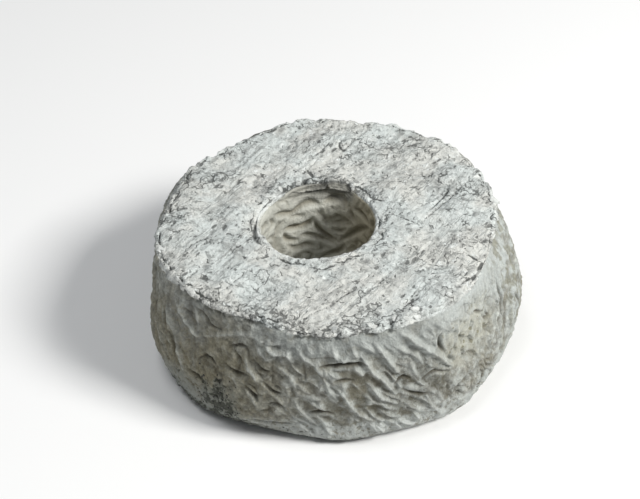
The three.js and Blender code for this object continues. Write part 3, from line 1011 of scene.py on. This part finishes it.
def topCoats(s, fine):  # chalky white over ash, streaked by the mat, with specks, curled cracks, painted shade in its low places and a painted shadow line inside the rim
    place = s.place
    onTop = s.layer("onTop")
    radius = s.layer("ringRadius")
    tear = s.layer("tear")
    top = Coats(s, s.group("chalkBloom", Thin=0.5))
    crumbly = s.noise(s.warped(place, 0.6, 1.4), 0.45, 5, 0.68)
    whiter = s.smooth(crumbly, 0.46, 0.36)
    top.lay("chalkWhite", whiter * 0.85)
    top.shade(0.47, s.smooth(crumbly, 0.53, 0.62) * 0.85)
    streaks = s.group("matPrint", "Mask", Degrees=matDegrees, Per_mm=0.55, Shown=0.75)
    cross = s.group("matPrint", "Mask", Degrees=matDegrees - 90, Per_mm=0.5, Shown=0.45)
    top.lay("printGrey", s.capped(streaks * 0.72 + cross * 0.5))
    # Painted shade in the low places of the top's relief.
    top.shade(0.6, s.smooth(s.layer("lifted"), 0.0, -0.45) * 0.6)

    above = s.shifted(place, (0, 0, 31))
    hooks = s.group("hookLines", Per_mm=0.22, Width=0.034, Shown=0.5)
    smallHooks = s.group("hookLines", Per_mm=0.42, Width=0.045, Shown=0.3)
    rimHooks = s.group("hookLines", at=above, Per_mm=0.2, Width=0.035, Shown=0.9)
    hooks = s.most(hooks, rimHooks * s.layer("flakyRim") * s.smooth(radius, 41, 45))
    alongMat = s.stretched(s.rotated(place, -matDegrees), (0.55, 1, 1))
    beside = s.shifted(alongMat, (0, 50, 0))
    specks = s.group("ashSpecks", at=alongMat, Per_mm=1.0, Amount=0.5, Size=0.3)
    blots = s.group("ashSpecks", at=beside, Per_mm=0.42, Amount=0.8, Size=0.3)
    plain = s.layer("plainPlace", "FLOAT_VECTOR")
    # The drawn cracks, and the rim's line as painted shadow.
    cracksAndRimShade = topLines(s, plain, s.layer("crackAway"), s.layer("crackStrength"), 0.7)
    cracksAndRimShade = s.smooth(cracksAndRimShade, 0.2, 0.7)
    dark = s.most(hooks * 0.85, smallHooks * 0.6, specks * 0.6, blots * 0.8, cracksAndRimShade)
    lip = s.bell(radius - wheel["holeRadius"] - around["paleLip"]) * onTop
    lip = lip * s.patches(0.42, 0.56, place, 0.35, 3, 0.6)
    top.lay("chalkWhite", lip * 0.6)
    top.lay("crackBlack", dark * (0.88 - 0.6 * lip))

    layers = s.noise(s.stretched(place, (0.15, 0.15, 1)), 1.1, 3, 0.6)
    tornTone = s.scaled(rindLooks["tornGrey"][:3], s.smooth(layers, 0.35, 0.65, 0.6, 1.45))
    tearMask = s.smooth(tear, 0.25, 0.6)
    top.lay(tornTone, tearMask)
    top.lay("crackBlack", s.bell((tear - 0.4) / 0.22) * s.smooth(fine, 0.4, 0.52) * 0.8)
    return top, whiter * 0.15 - dark * 0.3, tornTone, tearMask


def sideCoats(s, fine, mottle):  # grey-brown, browner with painted shade in the folds and on the left, with painted highlights on the crests and painted shade in the creases
    place = s.place
    plain = s.layer("plainPlace", "FLOAT_VECTOR")
    z = s.layer("height")
    lifted, brownLeft, tanNet, tanRight = s.layers("lifted", "brownLeft", "tanNet", "tanRight")
    hollow, pleated, ashFoot = s.layers("hollow", "pleated", "ashFoot")

    # Where the lines are.
    crest, crease, wrinkle = sideLines(s, plain, 0.6)[:3]
    crestAway, creaseAway, crestStrength = s.layers("crestAway", "creaseAway", "crestStrength")
    away = sideReach(s, z) * (1 - 0.8 * nearLines(s, crestAway, creaseAway))
    loneCrease = s.bell(creaseAway * 1.05) * s.layer("creaseStrength") * 1.25
    # pale marks the crests for painted highlights, dark marks the creases for painted shade
    pale = s.most(crest * away, s.bell(crestAway * 1.3) * crestStrength)
    dark = s.most(s.most(crease, wrinkle * 0.7) * away, loneCrease)
    # Painted light on the flanks beside the drawn crests.
    crestFlankLight = s.smooth(crestAway + (fine - 0.5) * 3.5, 3.0, 1.0) * s.smooth(crestStrength, 0.2, 0.7)
    crestFlankLight = crestFlankLight * s.patches(0.34, 0.6, place, 0.3) * (1 - 0.6 * s.layer("calmLeft"))
    # The low places of the relief, where shade is painted.
    sunk = s.smooth(lifted, 0.35, -0.3)

    # The bare rind, browner or bluer from place to place, with painted shade in its low places and
    # over the left side.
    side = Coats(s, rindLooks["sideGrey"])
    side.lay("brownGrey", s.most(brownLeft, sunk * 0.5))
    # Tan in the net and darker at its right, each deeper in the low places as painted shade.
    side.lay("tan", tanNet * (0.35 + 0.6 * sunk))
    side.shade(0.5, tanRight * (0.65 + 0.35 * sunk))
    side.colour = s.scaled(side.colour, 1 - 0.14 * s.layer("netted"))
    side.lay("leftBlue", s.layer("blueLeft") * s.smooth(fine, 0.36, 0.56) * 0.6)
    banded = s.patches(0.36, 0.56, s.warped(place, 0.3, 2), 0.22, 3, 0.6)
    side.lay("bandBlue", s.layer("blueBand") * (0.25 + 0.6 * banded))

    # Painted highlights on the crests and high places, and film, then painted light and shade on the
    # grain.
    paintedHighlight = s.most(s.smooth(lifted, 0.1, 1.1) * 0.6, s.capped(pale) * 0.85, crestFlankLight * 0.65)
    side.lay("crestPale", paintedHighlight * (1 - 0.3 * tanRight))
    film = s.patches(0.45, 0.57, s.warped(place, 0.4, 2.2), 0.26, 5, 0.7)
    side.lay("filmBlue", film * 0.5 * (1 - 0.75 * sunk * tanNet) * (1 - 0.7 * brownLeft))
    rough = rindGrain(s, plain)
    plainer = 1 - 0.55 * s.layer("netted")
    # Painted shade in the dips and painted light on the bumps of the same grain that the relief
    # raises.
    side.shade(0.7, s.smooth(rough, 0.49, 0.38) * 0.8 * plainer)
    side.shade(1.35, s.smooth(rough, 0.51, 0.62) * 0.7 * plainer)
    side.lay("drapePale", s.layer("paleDrape") * (0.75 + 0.25 * s.smooth(fine, 0.35, 0.6)))

    # The straw-coloured hollow and the pleats, at the right.
    side.lay("hollowStraw", hollow * (1 - 0.6 * film) * 0.8)
    beside = s.shifted(place, (9, 0, 0))
    olive = s.group("ashSpecks", at=beside, Per_mm=0.5, Amount=1.0, Size=0.36)
    side.lay("pitOlive", olive * hollow * 0.75)
    side.lay("drapePale", pleated * s.patches(0.4, 0.6, place, 0.25, 3) * 0.8)
    pleats = s.stretched(s.warped(place, 0.3, 1.5), (1, 1, 0.14))
    side.lay("pitOlive", pleated * s.patches(0.5, 0.6, pleats, 0.42, 3, 0.6) * 0.55)

    # Painted shade in the creases.
    side.lay("creaseBrown", s.capped(dark) * 0.9)
    side.shade(0.65, mottle * 0.6 * plainer)
    side.shade(1.3, s.patches(0.5, 0.62, place, 1.3, 3, 0.7) * 0.6 * plainer)

    # The foot: a pale edge, then ash.
    footEdge = z + (s.noise(s.warped(place, 0.4, 2), 0.24, 4, 0.65) - 0.5) * 14
    footCover = s.smooth(footEdge, 10.5, 6.5) * (1 - 0.75 * brownLeft)
    side.lay("footPale", footCover * s.smooth(fine, 0.36, 0.54) * 0.75)
    side.lay("footGrey", s.layer("greyFoot") * s.smooth(rough, 0.42, 0.5) * 0.7)
    blotted = s.patches(0.4, 0.56, s.warped(place, 0.3, 3), 0.2, 3, 0.6)
    patch = s.layer("ashPatch") * (0.55 + 0.45 * blotted) * 1.1
    footAsh = s.smooth(z, 2.6, 0.2) * 0.4 + s.most(ashFoot * 0.9, patch) + s.layer("ashFront") * 0.6
    side.lay("ashGreen", s.smooth(footAsh, 0.3, 0.8) * 0.6)
    ashEdge = 0.7 - 0.3 * footAsh
    ash = s.patches(ashEdge, ashEdge + 0.07, s.warped(place, 0.8, 1.2), 0.6, 5, 0.75)
    ash = ash * s.smooth(footAsh, 0.02, 0.3)
    specks = s.group("ashSpecks", Per_mm=0.7, Amount=0.3, Size=0.28)
    side.lay("ashBlack", s.most(ash * 0.85, specks * 0.5))
    return side, pale * 0.35 - dark * 0.4


def holeCoats(s, mottle):  # beige, olive to the right, with painted shade in the creases, deeper down and on the right
    plain = s.layer("plainPlace", "FLOAT_VECTOR")
    z = s.layer("height")
    crease = holeLines(s, plain, s.layer("holeAway"), s.layer("holeStrength"), 0.9, 1.15)
    crease = crease * holeReach(s, z)
    across = s.out(s.add("ShaderNodeSeparateXYZ", {0: plain}))
    hole = Coats(s, rindLooks["holeBeige"])
    # Olive towards the right: the rind's stain, and painted shade where the right wall is away from
    # the light.
    hole.lay("holeOlive", s.smooth(across, -6, 13) * 0.75)
    # Painted shade in the hole's creases.
    hole.lay("holeCrease", crease * 0.6)
    # Painted shade deeper down the hole, and random mottling.
    hole.shade(0.6, s.smooth(z, 20, 2) * 0.4 + mottle * 0.3)
    return hole, crease * 0.4


def rindMaterial():
    s = Finish("ashRind", 0.9)
    place = s.place
    onTop, onHole = s.layers("onTop", "onHole")
    height = wheel["height"]
    fine = s.noise(place, 0.8, 4, 0.65)
    mottle = s.smooth(fine, 0.42, 0.66)
    top, topBumps, tornTone, tearMask = topCoats(s, fine)
    side, sideBumps = sideCoats(s, fine, mottle)
    hole, holeDips = holeCoats(s, mottle)
    hole.lay(tornTone, tearMask * 0.9)

    ragged = (s.noise(place, 0.5, 4, 0.65) - 0.5) * 1.6
    ragged = ragged * s.smooth(s.layer("height"), height - 3, height - 1)
    sideOrTop = s.smooth(onTop + ragged, 0.35, 0.55)
    colour = s.blend(s.blend(side.colour, top.colour, sideOrTop), hole.colour, onHole)
    s.feed(s.inputs["Base Color"], colour)
    s.feed(s.inputs["Roughness"], s.smooth(fine, 0.2, 0.8, 0.82, 0.96))

    printed = s.group("matPrint", "Height", Degrees=matDegrees, Per_mm=1.0, Shown=0.8)
    bumps = fine * 0.4 + s.noise(place, 1.6, 3, 0.6) * 0.22 + topBumps * sideOrTop
    bumps = bumps + printed * sideOrTop * 0.2
    bumps = bumps + sideBumps * s.layer("onSide") * (1 - onTop) - holeDips * onHole
    s.bumps(bumps, 0.9, 1.0)
    return s.material


bitsLooks = {
    "crustFlake": {"pale": (0.66, 0.68, 0.66, 1), "dark": (0.45, 0.46, 0.44, 1)},
    "ashGrain": {"pale": (0.1, 0.1, 0.095, 1), "dark": (0.02, 0.021, 0.02, 1)},
}


def bitsMaterial(name):
    s = Finish(name, 0.92)
    look = bitsLooks[name]
    tone = s.patches(0.35, 0.65, s.place, 0.7, 3, 0.7)
    s.feed(s.inputs["Base Color"], s.blend(look["dark"], look["pale"], tone))
    s.bumps(s.noise(s.place, 1.8, 3, 0.6), 0.6, 0.4)
    return s.material


# A bit before it is scaled: its dents, its width as a share of its length, how far it tips over.
bitForm = {"dentScale": 2.4, "dentDepth": 1.3, "width": 0.7, "tip": 0.5}


def bitsTree(name, kind):  # irregular bits thrown over a surface, where their mask allows
    inputs = {"Bits": "Geometry", "Surface": "Object", **kind["sizes"], "Finish": "Material"}
    tree, s, given, end = newTree("GeometryNodeTree", name, inputs, {"Bits": "Geometry"})
    surface = s.add("GeometryNodeObjectInfo", {"Object": given["Surface"]})
    spread = s.add("GeometryNodeDistributePointsOnFaces", {
        "Mesh": surface.outputs["Geometry"],
        "Density": s.layer(kind["mask"]) * given["Per mm2"] * 1e6,
        "Seed": given["Seed"],
    })

    ball = s.add("GeometryNodeMeshIcoSphere", {"Radius": mm / 2, "Subdivisions": 2})
    local = s.scaled(s.out(s.add("GeometryNodeInputPosition")), 1000.0)
    dents = s.scaled(s.centred(local, bitForm["dentScale"], 3, 0.6), bitForm["dentDepth"] * mm)
    dented = s.add("GeometryNodeSetPosition", {"Geometry": ball.outputs["Mesh"], "Offset": dents})
    size = s.out(s.add("FunctionNodeRandomValue", {
        2: given["Smallest mm"],
        3: given["Largest mm"],
        8: given["Seed"],
    }, data_type="FLOAT"), 1)
    feeds = {0: size, 1: size * bitForm["width"], 2: size * given["Flatness"]}
    scale = s.add("ShaderNodeCombineXYZ", feeds)
    tip = bitForm["tip"]
    spin = s.out(s.add("FunctionNodeRandomValue", {
        0: (-tip, -tip, -math.pi),
        1: (tip, tip, math.pi),
        8: given["Seed"],
    }, data_type="FLOAT_VECTOR"), 0)
    feeds = {"Rotation": spread.outputs["Rotation"], "Rotate By": spin}
    turned = s.add("FunctionNodeRotateRotation", feeds, rotation_space="LOCAL")
    bits = s.add("GeometryNodeInstanceOnPoints", {
        "Points": spread.outputs["Points"],
        "Instance": dented.outputs[0],
        "Rotation": turned.outputs[0],
        "Scale": scale.outputs[0],
    })
    real = s.add("GeometryNodeRealizeInstances", {"Geometry": bits.outputs[0]}).outputs[0]
    above = s.vector("MAXIMUM", s.out(s.add("GeometryNodeInputPosition")), (-1, -1, 0))
    kept = s.add("GeometryNodeSetPosition", {"Geometry": real, "Position": above})
    dressInto(s, end, kept.outputs[0], given["Finish"])
    return tree


# The loose bits of rind: white flakes on the rim and round the mouth, ash at the foot.
bitKinds = {
    "crust_flakes": {
        "mask": "flaky",
        "look": "crustFlake",
        "sizes": {"Per mm2": 0.13, "Smallest mm": 0.9, "Largest mm": 3.4, "Flatness": 0.17, "Seed": 7},
    },
    "ash_grains": {
        "mask": "ashy",
        "look": "ashGrain",
        "sizes": {"Per mm2": 0.4, "Smallest mm": 0.25, "Largest mm": 0.7, "Flatness": 0.6, "Seed": 19},
    },
}


def scatterBits(name, kind, surface):
    piece = newPiece(name, bpy.data.meshes.new(name))
    throw = piece.modifiers.new("thrown", "NODES")
    throw.node_group = bitsTree(name, kind)
    setInputs(throw, {**kind["sizes"], "Surface": surface, "Finish": bitsMaterial(kind["look"])})
    frozen(piece)
    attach(piece, "root")
    print(name, len(piece.data.polygons), "triangles")


print("rind: plain wheel")
crests = drawnLines("crestLines", crestLines, sidePoint)
creases = drawnLines("creaseLines", creaseLines, sidePoint)
cracks = drawnLines("crackLines", topCracks, topPoint)
holeFolds = drawnLines("holeCreases", holeCreases, holePoint)
rind = newPiece("cheese_rind", plainWheel())
relief = rind.modifiers.new("relief", "NODES")
relief.node_group = rindRelief()
rindStuff = rindMaterial()
drawn = {"Crests": crests, "Creases": creases, "Cracks": cracks, "Hole Creases": holeFolds}
setInputs(relief, {**drawn, "Rind": rindStuff})
frozen(rind)
for line in drawn.values():
    bpy.data.objects.remove(line)
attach(rind, "root")
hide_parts(node)
print("rind: relief raised,", len(rind.data.polygons), "triangles")
for name, kind in bitKinds.items():
    scatterBits(name, kind, rind)

# The camera looks down on the front, as the photograph does.
camera = {
    "elevation": 38.5,
    "distance": 432.0,
    "lens": 86.8,
    "roll": -2.5,
    "across": -0.0169,
    "up": -0.0508,
    "near": 0.01,
    "far": 20,
}


def photoCamera():
    c = camera
    data = bpy.data.cameras.new("camera")
    data.lens = c["lens"]
    data.shift_x = c["across"]
    data.shift_y = c["up"]
    data.clip_start = c["near"]
    data.clip_end = c["far"]
    made = newPiece("camera", data)
    target = Vector((wheel["standX"], wheel["standY"], wheel["height"])) * mm
    tilt = math.radians(c["elevation"])
    back = Vector((0, -math.cos(tilt), math.sin(tilt)))
    made.location = target + back * c["distance"] * mm
    look = (-back).to_track_quat("-Z", "Y").to_matrix()
    made.rotation_euler = (look @ Matrix.Rotation(math.radians(c["roll"]), 3, "Z")).to_euler()
    bpy.context.scene.camera = made


# A soft light from the right and above, a weak one overhead, and a pale room all round.
lights = {
    "key": {"from": (0.72, -0.32, 0.72), "size": 0.3, "watts": 12.5, "colour": (1, 0.99, 0.965)},
    "over": {"from": (-0.25, -0.04, 0.95), "size": 0.45, "watts": 3.2, "colour": (0.97, 0.985, 1)},
}
room = {"colour": (0.95, 0.98, 1.0, 1), "strength": 0.19}
table = {"half": 3.0, "under": 0.2, "colour": (0.86, 0.86, 0.86, 1), "roughness": 0.9}


def studio():
    for name, light in lights.items():
        data = bpy.data.lights.new(name, "AREA")
        data.size = light["size"]
        data.energy = light["watts"]
        data.color = light["colour"]
        made = newPiece(name, data)
        made.location = light["from"]
        made.rotation_euler = (-made.location).to_track_quat("-Z", "Y").to_euler()
    world = bpy.data.worlds.new("room")
    world.use_nodes = True
    background = world.node_tree.nodes["Background"]
    background.inputs["Color"].default_value = room["colour"]
    background.inputs["Strength"].default_value = room["strength"]
    bpy.context.scene.world = world
    bpy.context.scene.view_settings.view_transform = "Standard"

    mesh = bpy.data.meshes.new("floor")
    corners = [(-1, -1), (1, -1), (1, 1), (-1, 1)]
    half = table["half"]
    z = -table["under"] * mm
    mesh.from_pydata([(half * x, half * y, z) for x, y in corners], [], [(0, 1, 2, 3)])
    floor = newPiece("floor", mesh)
    paper = bpy.data.materials.new("paper")
    paper.use_nodes = True
    shader = paper.node_tree.nodes["Principled BSDF"]
    shader.inputs["Base Color"].default_value = table["colour"]
    shader.inputs["Roughness"].default_value = table["roughness"]
    mesh.materials.append(paper)


photoCamera()
studio()
print("studio: camera, lights and floor")
